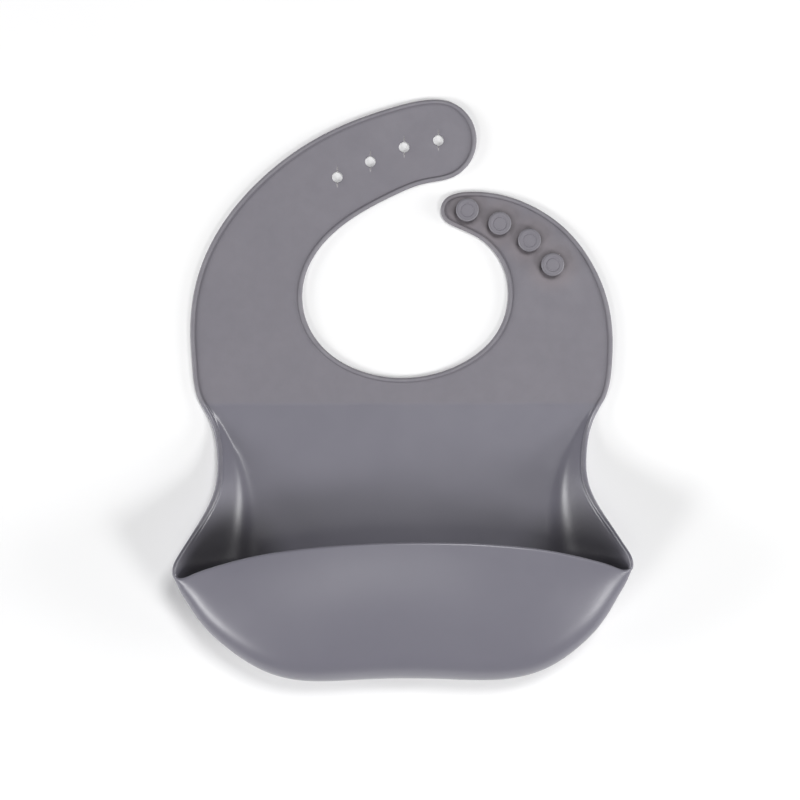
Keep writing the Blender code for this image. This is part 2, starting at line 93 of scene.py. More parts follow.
# Flat outline, from the left hip round the collar and the straps to the right hip
LEFT_EDGE = (
    (-104.4, -7.1), (-107.9, 11.3), (-108.8, 30.0), (-105.0, 57.0), (-93.5, 82.2),
    (-76.0, 103.8), (-54.7, 121.4), (-30.5, 134.8), (-4.4, 144.1),
)
HOLE_TIP = ((17.4, 127.2), 21.0, 100.0, -65.0)     # centre, radius, arc in degrees
NECK_EDGE = (
    (12.2, 104.9), (-5.0, 98.3), (-21.3, 89.6), (-36.1, 78.5), (-47.2, 63.9),
    (-51.3, 46.0), (-46.5, 28.4), (-34.0, 14.9), (-17.4, 7.2), (0.9, 4.8),
    (19.0, 7.6), (35.8, 15.3), (48.7, 28.0), (54.5, 45.5), (51.4, 63.2), (39.3, 76.8),
)
STUD_TIP = ((28.1, 91.2), 8.2, -110.0, -255.0)
RIGHT_EDGE = (
    (35.5, 100.6), (53.8, 98.3), (70.9, 91.2), (85.6, 80.1), (96.8, 65.5),
    (104.5, 48.8), (108.1, 30.6), (108.1, 13.0), (104.4, -5.7),
)

# Right half of the lower part. The left half is its mirror image.
SIDE_RIM = (
    (104.4, -6.4, 0.0), (100.1, -14.4, 1.2), (96.8, -22.9, 3.5), (94.6, -36.0, 8.6),
    (95.2, -49.9, 14.5), (100.1, -61.9, 20.7), (107.0, -73.3, 27.0),
    (112.3, -82.0, 32.0), (115.0, -89.4, 35.4),
)
SIDE_FOOT = (              # without its start at the hip, which is the inside of the rim
    (95.2, -13.2, 0.0), (89.4, -22.8, 0.0), (82.5, -36.0, 0.0), (77.5, -49.0, 0.0),
    (75.0, -60.0, 0.0), (74.2, -70.0, 0.0), (74.0, -84.0, 0.0),
)
POCKET_EQUATOR = (         # outermost line of the pocket, from the corner to the middle
    (115.0, -89.4, 35.4), (113.3, -96.6, 32.4), (109.4, -104.6, 30.4),
    (99.5, -119.6, 28.0), (86.3, -132.2, 25.8), (71.5, -142.0, 23.6),
    (54.4, -147.5, 21.8), (36.4, -148.5, 20.4), (18.0, -147.7, 20.0), (0.0, -147.3, 20.0),
)
POCKET_FOOT = (
    (74.0, -84.0, 0.0), (74.0, -93.0, 0.0), (71.5, -104.0, 0.0), (65.0, -113.5, 0.0),
    (55.5, -121.0, 0.0), (43.0, -125.8, 0.0), (22.0, -127.4, 0.0), (0.0, -127.3, 0.0),
)
POCKET_LIP = (
    (115.0, -89.4, 35.4), (114.1, -92.9, 36.2), (110.9, -93.7, 36.7), (107.0, -92.5, 37.2),
    (103.0, -90.7, 37.7), (95.3, -88.1, 38.6), (84.0, -85.0, 40.0), (71.0, -82.1, 41.7),
    (58.0, -80.2, 43.2), (44.0, -78.7, 44.5), (22.0, -77.4, 45.7), (0.0, -77.0, 46.0),
)
# The soft lower part lies a little askew. Each pair says where a change starts and is full.
SKEW = 0.007               # rise in Y for each X
CORNER_SKEW = 0.012        # and more so at the pocket's corners
CORNER_SKEW_FROM_TOP = (-30.0, -80.0)
CORNER_SKEW_FROM_BOTTOM = (-140.0, -100.0)
RIGHT_SPREAD = 1.0         # how far the pocket's right side spreads out more than the left
SPREAD_OUT_X = (0.0, 90.0)
SPREAD_OUT_Y = (-80.0, -95.0)
SPREAD_DOWN_X = (45.0, 85.0)
SPREAD_DOWN_Y = (-100.0, -130.0)
FILLET_SHARE = 0.45        # share of a side wall's width that is the curve at its foot
ROUNDING_SHARE = 0.28      # share of the pocket's edge over which it becomes a round fold
SHOULDER_WIDTH = 16.0      # widest curve between the pocket's edge and its domed front
SHOULDER_RISE = 0.45       # share of the front's rise that is in that curve

# Button holes, with the short slit above and below each one
HOLES = ((18.8, 127.1), (1.2, 123.6), (-16.2, 116.2), (-33.2, 108.2))
HOLE_RADIUS = 2.75
HOLE_SIDES = 36
SLIT_HALF_WIDTH = 0.07
SLIT_ABOVE = 2.9
SLIT_BELOW = 1.8
SLIT_MIDDLE = 0.55         # share of a slit's length at which it has narrowed
SLIT_TAPER = 0.6           # and to what share of its width
SHARPEST_CORNER = 0.45     # cosine of half the sharpest corner that a ring is grown round
HOLE_RINGS = (0.0, 0.06, 0.16, 0.35)
HOLE_BOTTOM = (0.9, 0.3, 0.05, 0.0)
HOLE_TOP = (0.9, 1.5, 1.75, 1.8)

# Cuts across the sheet where it stays straight: a point on the cut and the heading of the
# strap there, in degrees
CUT_REACH = 40.0
CUTS = (
    ((-78.0, 26.0), 90.0),
    ((78.0, 26.0), 90.0),
    ((-66.5, 78.5), 55.0),
    ((-41.0, 106.8), 38.0),
    ((71.5, 70.0), 124.0),
)
CHEST_CUT_Y = -13.0

# name: (seed point inside it, joint it bends at, reach on each side of the bend, CAD nodes)
PIECES = {
    "lower_bib": ((0.0, -60.0), "pocket_open", None,
                  ("back_panel", "left_side_wall", "right_side_wall", "pocket_floor",
                   "pocket_front")),
    "chest": ((0.0, -2.0), "panel_fold", 8.0, ("collar",)),
    "hole_strap_root_skin": ((-79.0, 55.0), "hole_strap_curl", 8.0, ("hole_strap_root",)),
    "hole_strap_middle_skin": ((-52.0, 97.0), "hole_strap_curl_2", 8.0,
                               ("hole_strap_middle",)),
    "hole_strap_tip_skin": ((-9.0, 121.0), "hole_strap_curl_3", 8.0, ("hole_strap_tip",)),
    "stud_strap_root_skin": ((80.0, 48.0), "stud_strap_curl", 6.0, ("stud_strap_root",)),
    "stud_strap_tip_skin": ((58.5, 80.0), "stud_strap_curl_2", 6.0, ("stud_strap_tip",)),
}
ON_TABLE = 0.01            # height below which a face is in the flat part

# Studs: a flat cap with a plain ring on it, on a stem that flares where it meets the strap
STUD_SIDES = 64
STUD_ROUNDING = 0.4
CAP_TOP = (                # share of the cap's radius, depth below its top
    (0.0, 0.12), (0.48, 0.1), (0.53, 0.32), (0.60, 0.32), (0.65, 0.06), (0.9, 0.02), (1.0, 0.55),
)
CAP_THICKNESS = 2.3
CAP_BELOW = ((1.0, 0.55), (0.86, 0.12))        # share of the radius, height above its underside
STEM_TOP = ((2.5, 0.0), (2.35, -0.7))          # radius, height above the cap's underside
STEM = ((2.35, 1.5), (3.1, 0.45), (3.5, 0.0), (0.0, 0.0))     # radius, height above the foot
FOOT_DEPTH = 0.55          # how far the foot reaches down into the strap
RUBBED_DISTANCE = 1.1      # edge distance at which the rim's crest, and a cap's edge, is worn and painted lighter as a highlight
STUD_BODIES = {"stud_1": "stud_strap_tip", "stud_2": "stud_strap_tip",
               "stud_3": "stud_strap_root", "stud_4": "stud_strap_root"}

# Finish: the upper part is matte, and the lower part, below this line, is satin
FINISH_LINE_Y = -8.2
FINISH_BLEND = 1.4         # how far the one runs into the other on each side of the line
MATTE_ROUGHNESS = 0.52
SATIN_ROUGHNESS = 0.30

# Traces of use, and painted shade, shadow and light: full within the first distance, and none beyond
# the second
HANDLED_REACH = (7.0, 17.0)
GRIME_REACH = (6.0, 9.5)
RESIDUE_REACH = (18.0, 42.0)
SLIT_REACH = ((0.15, 0.4), (4.0, 6.0))     # across a slit, and along it from the hole's middle
STRAP_TOP = (2.8, 3.2)     # heights between which the strap ends and the studs begin
FLASH_REACH = (0.1, 0.45)  # from the mould's parting line

# Colours, as linear red, green and blue
UPPER_PIGMENTS = ((0.188, 0.179, 0.206), (0.196, 0.186, 0.213))
LOWER_PIGMENTS = ((0.174, 0.169, 0.204), (0.178, 0.173, 0.208))
HANDLED = (0.216, 0.192, 0.209)
# painted shadow: a dark ring round each stud, in place of the shadow its cap casts
GRIME = (0.095, 0.085, 0.095)
# painted shade: near black, deepening the pocket's corners under the lip
RESIDUE = (0.042, 0.040, 0.047)
RESIDUE_PLACES = ((-0.092, -0.094, 0.012), (0.092, -0.094, 0.012))     # metres
DUST = (0.62, 0.60, 0.58)
# rim's crest and caps' edges: partly real wear, partly a painted highlight where the round edge
# catches the light
RUBBED = (0.268, 0.260, 0.282)
# painted shade: a dark line in the groove inside the rim, where shade falls
GROOVE = (0.110, 0.104, 0.118)
# painted light: a pale line along each slit, over walls that are in shade
WHITENED = (0.62, 0.60, 0.60)
FLASH = (0.268, 0.264, 0.290)
FLOOR_PIGMENTS = ((0.950, 0.950, 0.955), (0.965, 0.965, 0.965))

# Lights: bearing and elevation in degrees, distance and size in metres, and power in watts
LIGHT_TARGET = (0.0, -30.0, 0.0)
WORLD_STRENGTH = 0.04
ROOM_BRIGHTNESS = 0.9      # of the pale room beyond the table
FLOOR_RADIUS = 2.0         # metres
FLOOR_SIDES = 96
SOFTBOXES = {
    "right_softbox": (326.0, 42.0, 2.6, (0.7, 0.6), 21.0),
    "right_strip": (355.0, 17.0, 2.3, (1.2, 0.6), 24.5),
    "left_softbox": (224.0, 36.0, 2.6, (0.7, 0.6), 18.5),
    "left_strip": (184.0, 17.0, 2.3, (1.2, 0.6), 26.5),
    "front_softbox": (256.0, 73.0, 2.6, (0.9, 0.9), 5.0),
    "back_softbox": (60.0, 68.0, 2.6, (0.6, 0.6), 25.5),
}

# Camera, straight above
CAMERA_PLACE = (-1.0, -6.5, 1100.0)
CAMERA_FIELD = 412.0       # width of the view at the table
SENSOR = 36.0


# ---- curves

def lengths_along(line):
    """Length of a line from its start to each of its points."""
    steps = np.linalg.norm(np.diff(line, axis=0), axis=1)
    return np.concatenate(([0.0], np.cumsum(steps)))


def at_lengths(line, lengths):
    """Points of a line at the given lengths along it."""
    along = lengths_along(line)
    return np.stack([np.interp(lengths, along, line[:, k]) for k in range(line.shape[1])], axis=1)


def shares(line, fractions):
    """Points of a line at the given shares of its length."""
    return at_lengths(line, np.asarray(fractions) * lengths_along(line)[-1])


def spline(knots, closed):
    """Fine samples of the cubic spline through the knots, and where each stretch starts."""
    knots = np.array(knots, dtype=float)
    count = len(knots)
    ahead = np.roll(knots, -1, axis=0)
    chord = np.linalg.norm(ahead - knots, axis=1)
    slope = (ahead - knots) / chord[:, None]
    matrix = np.eye(count)
    target = np.zeros_like(knots)
    for i in range(count):
        if closed or 0 < i < count - 1:
            matrix[i, i] = 2.0 * (chord[i - 1] + chord[i])
            matrix[i, i - 1] = chord[i - 1]
            matrix[i, (i + 1) % count] = chord[i]
            target[i] = 6.0 * (slope[i] - slope[i - 1])
    bend = np.linalg.solve(matrix, target)
    samples = []
    starts = []
    for i in range(count if closed else count - 1):
        j = (i + 1) % count
        span = chord[i]
        pieces = max(2, math.ceil(span / CURVE_STEP))
        right = np.arange(pieces)[:, None] / pieces * span
        left = span - right
        cubic = (bend[i] * left**3 + bend[j] * right**3) / (6.0 * span)
        line = (knots[i] / span - bend[i] * span / 6.0) * left
        line += (knots[j] / span - bend[j] * span / 6.0) * right
        starts.append(len(samples))
        samples.extend(cubic + line)
    if not closed:
        samples.append(knots[-1])
    return np.array(samples), starts


def smooth_curve(knots):
    return spline(knots, closed=False)[0]


def arc(centre, radius, start, end, count=6):
    """Points of an arc, its angles in degrees."""
    angles = np.radians(np.linspace(start, end, count))
    return [(centre[0] + radius * math.cos(a), centre[1] + radius * math.sin(a)) for a in angles]


def unit(vectors):
    """The vectors, with a length of 1."""
    return vectors / np.linalg.norm(vectors, axis=-1, keepdims=True)


def smoothstep(x):
    x = np.clip(x, 0.0, 1.0)
    return x * x * (3.0 - 2.0 * x)


def ramp(values, ends):
    """Shares that grow smoothly from 0 at the first end to 1 at the second."""
    return smoothstep((values - ends[0]) / (ends[1] - ends[0]))


def skewed(points):
    """The points of the lower part, moved askew and out on the right as the soft bib lies."""
    moved = np.array(points, dtype=float)
    x, y = np.array(points, dtype=float)[..., :2].T
    at_corner = ramp(y, CORNER_SKEW_FROM_TOP) * ramp(y, CORNER_SKEW_FROM_BOTTOM)
    moved[..., 0] += RIGHT_SPREAD * ramp(x, SPREAD_OUT_X) * ramp(y, SPREAD_OUT_Y)
    moved[..., 1] += (SKEW + CORNER_SKEW * at_corner) * x
    moved[..., 1] -= RIGHT_SPREAD * ramp(x, SPREAD_DOWN_X) * ramp(y, SPREAD_DOWN_Y)
    return moved


def graded(length, fine_start, fine_end):
    """Shares of a length whose steps are fine near the ends that ask for it."""
    at = [0.0]
    while at[-1] < length:
        near = min(at[-1] if fine_start else math.inf, length - at[-1] if fine_end else math.inf)
        growth = smoothstep((near - CORNER_NEAR) / CORNER_NEAR)
        at.append(at[-1] + CORNER_STEP + (STATION_STEP - CORNER_STEP) * growth)
    return np.array(at) / at[-1]


def blurred(values, width):
    """Values along the first axis, blurred with a Gaussian, with their two ends held."""
    reach = min(max(1, math.ceil(3.0 * width)), len(values) - 1)
    offsets = np.arange(-reach, reach + 1)
    weights = np.exp(-0.5 * (offsets / width) ** 2)
    weights /= weights.sum()
    before = 2.0 * values[0] - values[reach:0:-1]
    after = 2.0 * values[-1] - values[-2:-2 - reach:-1]
    padded = np.concatenate((before, values, after))
    return sum(weight * padded[i:i + len(values)] for i, weight in enumerate(weights))


# ---- stations along the edge

def edge_sections():
    """Stations along the sheet's whole edge, in five stretches, with their shares of the length."""
    flat = list(LEFT_EDGE) + arc(*HOLE_TIP) + list(NECK_EDGE) + arc(*STUD_TIP) + list(RIGHT_EDGE)
    flat = [(x, y, 0.0) for x, y in flat]
    right = (np.array(SIDE_RIM), np.array(POCKET_LIP))
    left = (line[::-1] * (-1.0, 1.0, 1.0) for line in right[::-1])
    rim, lip, left_lip, left_rim = (list(skewed(line)) for line in (*right, *left))
    knots = flat + rim[1:] + lip[1:] + left_lip[1:] + left_rim[1:-1]
    samples, starts = spline(knots, closed=True)
    samples[:, 2] = np.maximum(samples[:, 2], 0.0)
    # The stretches end at the right hip, the right corner, the lip's middle and the left corner
    ends = np.cumsum([len(line) - 1 for line in (flat, rim, lip, left_lip)])
    ends = [0] + [starts[i] for i in ends] + [len(samples)]
    samples = np.concatenate((samples, samples[:1]))
    fine = ((False, False), (False, True), (True, False), (False, True), (True, False))
    sections = []
    for start, end, (at_start, at_end) in zip(ends, ends[1:], fine):
        line = samples[start:end + 1]
        length = lengths_along(line)[-1]
        if at_start or at_end:
            fractions = graded(length, at_start, at_end)
        else:
            fractions = np.linspace(0.0, 1.0, round(length / STATION_STEP) + 1)
        sections.append((shares(line, fractions), fractions))
    sections[0][0][:, 2] = 0.0
    return sections


def inward_normals(line):
    """Unit normals in the plan, to the right-hand side of a line."""
    run = unit(np.gradient(line[:, :2], axis=0))
    return np.stack((run[:, 1], -run[:, 0]), axis=1)


# ---- ribs of the lower part

def rising_rib(foot, edge, roundness):
    """Section from the foot up to the edge: a curve, then a slope or a round."""
    reach = np.sin(np.linspace(0.0, math.pi / 2.0, RIB_SAMPLES))
    share = FILLET_SHARE
    slope = 1.0 / (1.0 - share / 2.0)
    fillet = np.where(reach < share, slope * reach**2 / (2.0 * share), slope * (reach - share / 2.0))
    fold = 1.0 - np.sqrt(np.maximum(0.0, 1.0 - reach**2))
    height = (1.0 - roundness) * fillet + roundness * fold
    rib = foot + (edge - foot) * reach[:, None]
    rib[:, 2] = edge[2] * height
    return rib


def front_rib(edge, lip):
    """Section from the pocket's edge over the shoulder and along the front to the lip."""
    length = math.hypot(*(lip - edge)[:2])
    rise = lip[2] - edge[2]
    width = length * SHOULDER_WIDTH / (length + SHOULDER_WIDTH)
    turn = np.linspace(0.0, math.pi / 2.0, RIB_SAMPLES // 2)
    shoulder = width * (1.0 - np.cos(turn))
    flat = np.linspace(width, length, RIB_SAMPLES // 2)[1:]
    reach = np.concatenate((shoulder, flat))
    lift = np.concatenate((np.sin(turn), np.ones(len(flat))))
    dome = np.sin(reach / length * math.pi / 2.0)
    rib = edge + (lip - edge) * (reach / length)[:, None]
    rib[:, 2] = edge[2] + rise * (SHOULDER_RISE * lift + (1.0 - SHOULDER_RISE) * dome)
    return rib


def half_ribs(rim_section, lip_section, side, hip_foot):
    """Ribs of one side, from its hip to the middle of the lip."""
    def own_side(points):
        return skewed(np.array(points) * (side, 1.0, 1.0))
    foot = smooth_curve([hip_foot] + list(own_side(SIDE_FOOT)))
    rim, rim_fractions = rim_section
    ribs = [rising_rib(f, e, 0.0) for f, e in zip(shares(foot, rim_fractions), rim)]
    lip, lip_fractions = lip_section
    feet = shares(smooth_curve(own_side(POCKET_FOOT)), lip_fractions)
    edges = shares(smooth_curve(own_side(POCKET_EQUATOR)), lip_fractions)
    for share, foot_point, edge, end in list(zip(lip_fractions, feet, edges, lip))[1:]:
        lower = rising_rib(foot_point, edge, smoothstep(share / ROUNDING_SHARE))
        ribs.append(np.concatenate((lower, front_rib(edge, end)[1:])))
    return [shares(rib, np.linspace(0.0, 1.0, RIB_SAMPLES + 1)) for rib in ribs]


def rib_grid(sections, hip_feet):
    """Points of the rising part: stations from the right hip round to the left hip, by rows."""
    _, rim, lip, *left_side = sections
    left_lip, left_rim = ((points[::-1], 1.0 - at[::-1]) for points, at in left_side)
    right = half_ribs(rim, lip, 1.0, hip_feet[1])
    left = half_ribs(left_rim, left_lip, -1.0, hip_feet[0])
    grid = np.array(right + left[-2::-1])
    for i, rib in enumerate(grid):
        spacing = lengths_along(rib)[-1] / RIB_SAMPLES
        if spacing > SHORTEST_BLURRED:
            grid[i] = blurred(rib, SOFTNESS / spacing)
    grid = blurred(grid, SOFTNESS_ACROSS)
    grid[..., 2] = np.maximum(grid[..., 2], 0.0)
    grid[:, 0, 2] = 0.0
    return grid


def grid_normals(grid):
    """Unit normals of the grid, to the sheet's inner side."""
    normals = np.cross(np.gradient(grid, axis=0), np.gradient(grid, axis=1))
    return unit(normals * np.sign(normals[:, 1, 2].sum()))


# ---- the sheet's back surface

class Sheet:
    """Points of the back surface, with what is needed to give the sheet its thickness."""

    def __init__(self):
        self.points = []
        self.normals = []
        self.bottom = []
        self.top = []
        self.edge_distance = []
        self.parting_distance = []
        self.faces = []
        self.seams = set()

    def add(self, point, bottom, top, edge_distance, normal=UP, parting_distance=FAR):
        self.points.append(np.array(point, dtype=float))
        self.normals.append(np.array(normal, dtype=float))
        self.bottom.append(bottom)
        self.top.append(top)
        self.edge_distance.append(edge_distance)
        self.parting_distance.append(parting_distance)
        return len(self.points) - 1

    def strip(self, first, second):
        """Faces between two columns of points, which may differ in number."""
        i = j = 0
        last_i, last_j = len(first) - 1, len(second) - 1
        while i < last_i or j < last_j:
            ahead_i = (i + 1) / last_i if i < last_i else math.inf
            ahead_j = (j + 1) / last_j if j < last_j else math.inf
            if abs(ahead_i - ahead_j) < 1e-9:
                self.face(first[i], first[i + 1], second[j + 1], second[j])
                i += 1
                j += 1
            elif ahead_i < ahead_j:
                self.face(first[i], first[i + 1], second[j])
                i += 1
            else:
                self.face(first[i], second[j + 1], second[j])
                j += 1

    def face(self, *corners):
        distinct = tuple(dict.fromkeys(corners))
        if len(distinct) > 2:
            self.faces.append(distinct)

    def cut(self, chain):
        for a, b in zip(chain, chain[1:]):
            self.seams.add(frozenset((a, b)))


def rim_section(lip_share):
    """Bottom and top of the band along the edge: the rim, fading into the plain lip."""
    radius = SHEET / 2.0
    from_edge = np.minimum(RIM_DISTANCE, radius)
    half = np.sqrt(radius**2 - (radius - from_edge) ** 2)
    bottom = (1.0 - lip_share) * RIM_BOTTOM + lip_share * (radius - half)
    top = (1.0 - lip_share) * RIM_TOP + lip_share * (radius + half)
    return bottom, top


def flat_columns(sheet, section):
    """Columns across the band along the flat outline, from its inside to the edge."""
    bottom, top = rim_section(0.0)
    columns = []
    for point, normal in zip(section, inward_normals(section)):
        column = []
        for distance, low, high in zip(RIM_DISTANCE[::-1], bottom[::-1], top[::-1]):
            x, y = point[:2] + distance * normal
            column.append(sheet.add((x, y, 0.0), low, high, distance))
        columns.append(column)
    return columns


def rib_columns(sheet, grid, lip_shares, hip_columns):
    """Columns along the ribs, from the foot to the edge, as interior rows and the band."""
    normals = grid_normals(grid)
    along_edge, up_rib = np.gradient(grid[:, -1], axis=0), grid[:, -1] - grid[:, -2]
    crossing = np.linalg.norm(np.cross(unit(along_edge), unit(up_rib)), axis=1)
    widening = 1.0 / np.maximum(crossing, FLATTEST_CROSSING)
    insides = []
    bands = []
    for rib, normal, lip_share, wider in zip(grid, normals, lip_shares, widening):
        line = np.hstack((rib, normal))
        along = lengths_along(rib)
        outermost = int(np.argmax(np.linalg.norm(rib[:, :2] - rib[0, :2], axis=1)))
        parting = along[outermost] + PARTING_RISE if outermost < len(rib) - 1 else FAR
        band = RIM_DISTANCE[::-1] * wider
        rows = max(0, round((along[-1] - band[0]) / ROW_STEP))
        at = np.linspace(0.0, along[-1] - band[0], rows + 1)[:-1]
        inside = []
        for length, point in zip(at, at_lengths(line, at)):
            inside.append(sheet.add(point[:3], 0.0, SHEET, BAND + along[-1] - length,
                                    unit(point[3:]) if length > 0.0 else UP, abs(length - parting)))
        bottom, top = rim_section(lip_share)
        column = []
        for distance, low, high, back in zip(RIM_DISTANCE[::-1], bottom[::-1], top[::-1], band):
            length = along[-1] - back
            point = np.array([np.interp(length, along, values) for values in line.T])
            column.append(sheet.add(point[:3], low, high, distance + lip_share * BAND,
                                    unit(point[3:]), abs(length - parting)))
        insides.append(inside)
        bands.append(column)
    insides[0] = insides[-1] = []
    bands[0], bands[-1] = hip_columns
    return insides, bands


def grown(loop, distance):
    """A closed loop moved outward by a distance, corner by corner."""
    before = unit(loop - np.roll(loop, 1, axis=0))
    after = unit(np.roll(loop, -1, axis=0) - loop)
    run = unit(before + after)
    slant = np.maximum(np.abs((run * after).sum(axis=1)), SHARPEST_CORNER)
    outward = np.stack((run[:, 1], -run[:, 0]), axis=1)
    return loop + outward * (distance / slant)[:, None]


def button_hole_loop(centre):
    """Outline of a button hole, counterclockwise: a circle with a slit above and below."""
    half = math.asin(SLIT_HALF_WIDTH / HOLE_RADIUS)
    loop = []
    for start, length in ((-math.pi / 2.0, SLIT_ABOVE), (math.pi / 2.0, SLIT_BELOW)):
        angles = np.linspace(start + half, start + math.pi - half, HOLE_SIDES // 2)
        loop += [(HOLE_RADIUS * math.cos(a), HOLE_RADIUS * math.sin(a)) for a in angles]
        side = math.copysign(1.0, loop[-1][1])
        middle = side * (HOLE_RADIUS + SLIT_MIDDLE * length)
        end = side * (HOLE_RADIUS + length)
        half_width = side * SLIT_HALF_WIDTH * SLIT_TAPER
        loop += [(half_width, middle), (0.0, end), (-half_width, middle)]
    return np.array(loop) + centre


def button_holes(sheet):
    """Rings of points round each button hole. Returns the outermost ring of each."""
    outer_rings = []
    for centre in HOLES:
        loop = button_hole_loop(np.array(centre))
        rings = []
        for distance, low, high in zip(HOLE_RINGS, HOLE_BOTTOM, HOLE_TOP):
            ring = [sheet.add((x, y, 0.0), low, high, BAND) for x, y in grown(loop, distance)]
            rings.append(ring + ring[:1])
        for inner, outer in zip(rings, rings[1:]):
            sheet.strip(inner, outer)
        outer_rings.append(rings[-1][:-1])
    return outer_rings


def inside_loop(points, loop):
    """Which of the points are inside a closed loop, in the plan."""
    found = np.zeros(len(points), dtype=bool)
    x, y = points[:, 0], points[:, 1]
    for (ax, ay), (bx, by) in zip(loop, np.roll(loop, -1, axis=0)):
        if ay != by:
            found ^= ((ay > y) != (by > y)) & (x < (bx - ax) * (y - ay) / (by - ay) + ax)
    return found


def lattice(loop, rings, guides):
    """Points inside the flat part, clear of its edges."""
    low, high = loop.min(axis=0), loop.max(axis=0)
    rows = np.arange(low[1], high[1], LATTICE_STEP * math.sqrt(0.75))
    points = []
    for number, y in enumerate(rows):
        shift = LATTICE_STEP / 2.0 * (number % 2)
        points += [(x, y) for x in np.arange(low[0] + shift, high[0], LATTICE_STEP)]
    points = np.array(points)
    points = points[inside_loop(points, loop)]
    for ring in rings:
        points = points[~inside_loop(points, ring)]
    for line in (loop, *rings, *guides):
        nearest = np.full(len(points), np.inf)
        for corner in line:
            nearest = np.minimum(nearest, np.hypot(*(points - corner).T))
        points = points[nearest > LATTICE_CLEAR]
    return points


def fill_flat(sheet, loop, rings, chains):
    """Fills the flat part inside a loop with triangles, round the rings and along the chains."""
    def plan(ids):
        return np.array([sheet.points[i][:2] for i in ids])
    guides = []
    fixed_edges = []
    ids = []
    for ring in (loop, *rings):
        fixed_edges += sides_of(ring)
        ids += ring
    for start, end in chains:
        a, b = sheet.points[start], sheet.points[end]
        count = round(np.linalg.norm(b - a) / LATTICE_STEP)
        inner = [sheet.add(a + (b - a) * k / count, 0.0, SHEET, 2.0 * BAND)
                 for k in range(1, count)]
        chain = [start, *inner, end]
        sheet.cut(chain)
        fixed_edges += list(zip(chain, chain[1:]))
        ids += inner
        guides.append(plan(inner))
    for x, y in lattice(plan(loop), [plan(ring) for ring in rings], guides):
        ids.append(sheet.add((x, y, 0.0), 0.0, SHEET, 2.0 * BAND))
    place = {name: number for number, name in enumerate(ids)}
    edges = [(place[a], place[b]) for a, b in fixed_edges]
    points, _, faces, origins, *_ = delaunay_2d_cdt(
        [Vector(p) for p in plan(ids)], edges, [], 0, 1e-5)
    if len(points) != len(ids):
        raise ValueError("the flat part's lines cross")
    names = [ids[origin[0]] for origin in origins]
    centres = np.array([np.mean([points[i] for i in face], axis=0) for face in faces])
    keep = inside_loop(centres, plan(loop))
    for ring in rings:
        keep &= ~inside_loop(centres, plan(ring))
    for face, kept in zip(faces, keep):
        if kept:
            sheet.face(*(names[i] for i in face))


def nearest_stations(stations, cut):
    """The stations on the two sides of a strap that are nearest to a cut across it."""
    middle, heading = cut
    x, y = (stations[:, :2] - middle).T
    cos, sin = math.cos(math.radians(heading)), math.sin(math.radians(heading))
    past = x * cos + y * sin
    aside = x * sin - y * cos
    found = []
    for side in (-1.0, 1.0):
        on_side = (aside * side > 0.0) & (aside * side < CUT_REACH)
        found.append(int(np.argmin(np.where(on_side, np.abs(past), np.inf))))
    return found


def build_sheet():
    """The whole back surface, with its faces and its seams."""
    sheet = Sheet()
    sections = edge_sections()
    outline = sections[0][0]
    hips = outline + BAND * np.pad(inward_normals(outline), ((0, 0), (0, 1)))
    grid = rib_grid(sections, (hips[0], hips[-1]))

    flat = flat_columns(sheet, outline)
    rim_count = len(sections[1][0])
    along = lengths_along(grid[:, -1])
    left_corner = along[len(grid) - len(sections[4][0])]
    from_corner = np.minimum(along - along[rim_count - 1], left_corner - along)
    insides, bands = rib_columns(sheet, grid, ramp(from_corner, LIP_FADE), (flat[-1], flat[0]))

    for first, second in zip(flat, flat[1:]):
        sheet.strip(first, second)
    for i in range(len(grid) - 1):
        sheet.strip(bands[i], bands[i + 1])
        sheet.strip(insides[i] + bands[i][:1], insides[i + 1] + bands[i + 1][:1])

    feet = [(inside + band)[0] for inside, band in zip(insides, bands)]
    loop = [column[0] for column in flat] + feet[1:-1]
    chains = []
    for cut in CUTS:
        start, end = nearest_stations(outline, cut)
        chains.append((flat[start][0], flat[end][0]))
        sheet.cut(flat[start])
        sheet.cut(flat[end])
    off_cut = np.abs(grid[:, -1, 1] - CHEST_CUT_Y)
    right = int(np.argmin(off_cut[:rim_count]))
    left = len(grid) - 1 - int(np.argmin(off_cut[::-1][:rim_count]))
    for station in (right, left):
        sheet.cut(insides[station] + bands[station])
    chains.append((feet[right], feet[left]))
    fill_flat(sheet, loop, button_holes(sheet), chains)
    return sheet


# ---- from the sheet to pieces

def sides_of(face):
    """The pairs of corners that a face's sides join."""
    return list(zip(face, face[1:] + face[:1]))


def face_groups(sheet):
    """The sheet's faces, in groups that the seams keep apart."""
    owners = {}
    for number, face in enumerate(sheet.faces):
        for side in sides_of(face):
            owners.setdefault(frozenset(side), []).append(number)
    group = [None] * len(sheet.faces)
    for start in range(len(sheet.faces)):
        if group[start] is not None:
            continue
        group[start] = start
        waiting = [start]
        while waiting:
            for side in map(frozenset, sides_of(sheet.faces[waiting.pop()])):
                for other in owners[side] if side not in sheet.seams else ():
                    if group[other] is None:
                        group[other] = start
                        waiting.append(other)
    return group


def thick_mesh(sheet, numbers, name):
    """A closed mesh of some of the sheet's faces: top, bottom, and walls along the seams."""
    points = []
    sides = {}

    def corner(index, top):
        key = (index, top and sheet.top[index] - sheet.bottom[index] >= 1e-9)
        if key not in sides:
            height = sheet.top[index] if top else sheet.bottom[index]
            sides[key] = len(points)
            points.append(sheet.points[index] + sheet.normals[index] * height)
        return sides[key]

    faces = []
    uses = {}
    for number in numbers:
        face = sheet.faces[number]
        faces.append([corner(i, True) for i in face])
        faces.append([corner(i, False) for i in reversed(face)])
        for side in sides_of(face):
            uses.setdefault(frozenset(side), []).append(side)
    skin_count = len(faces)
    for edge, users in uses.items():
        if len(users) == 1 and edge in sheet.seams:
            a, b = users[0]
            wall = [corner(b, True), corner(a, True), corner(a, False), corner(b, False)]
            faces.append(list(dict.fromkeys(wall)))
    mesh = bpy.data.meshes.new(name)
    mesh.from_pydata((np.array(points) * MM).tolist(), [], faces)
    return mesh, sides, skin_count


def placed(name, data):
    """A new object of the scene."""
    thing = bpy.data.objects.new(name, data)
    bpy.context.scene.collection.objects.link(thing)
    return thing


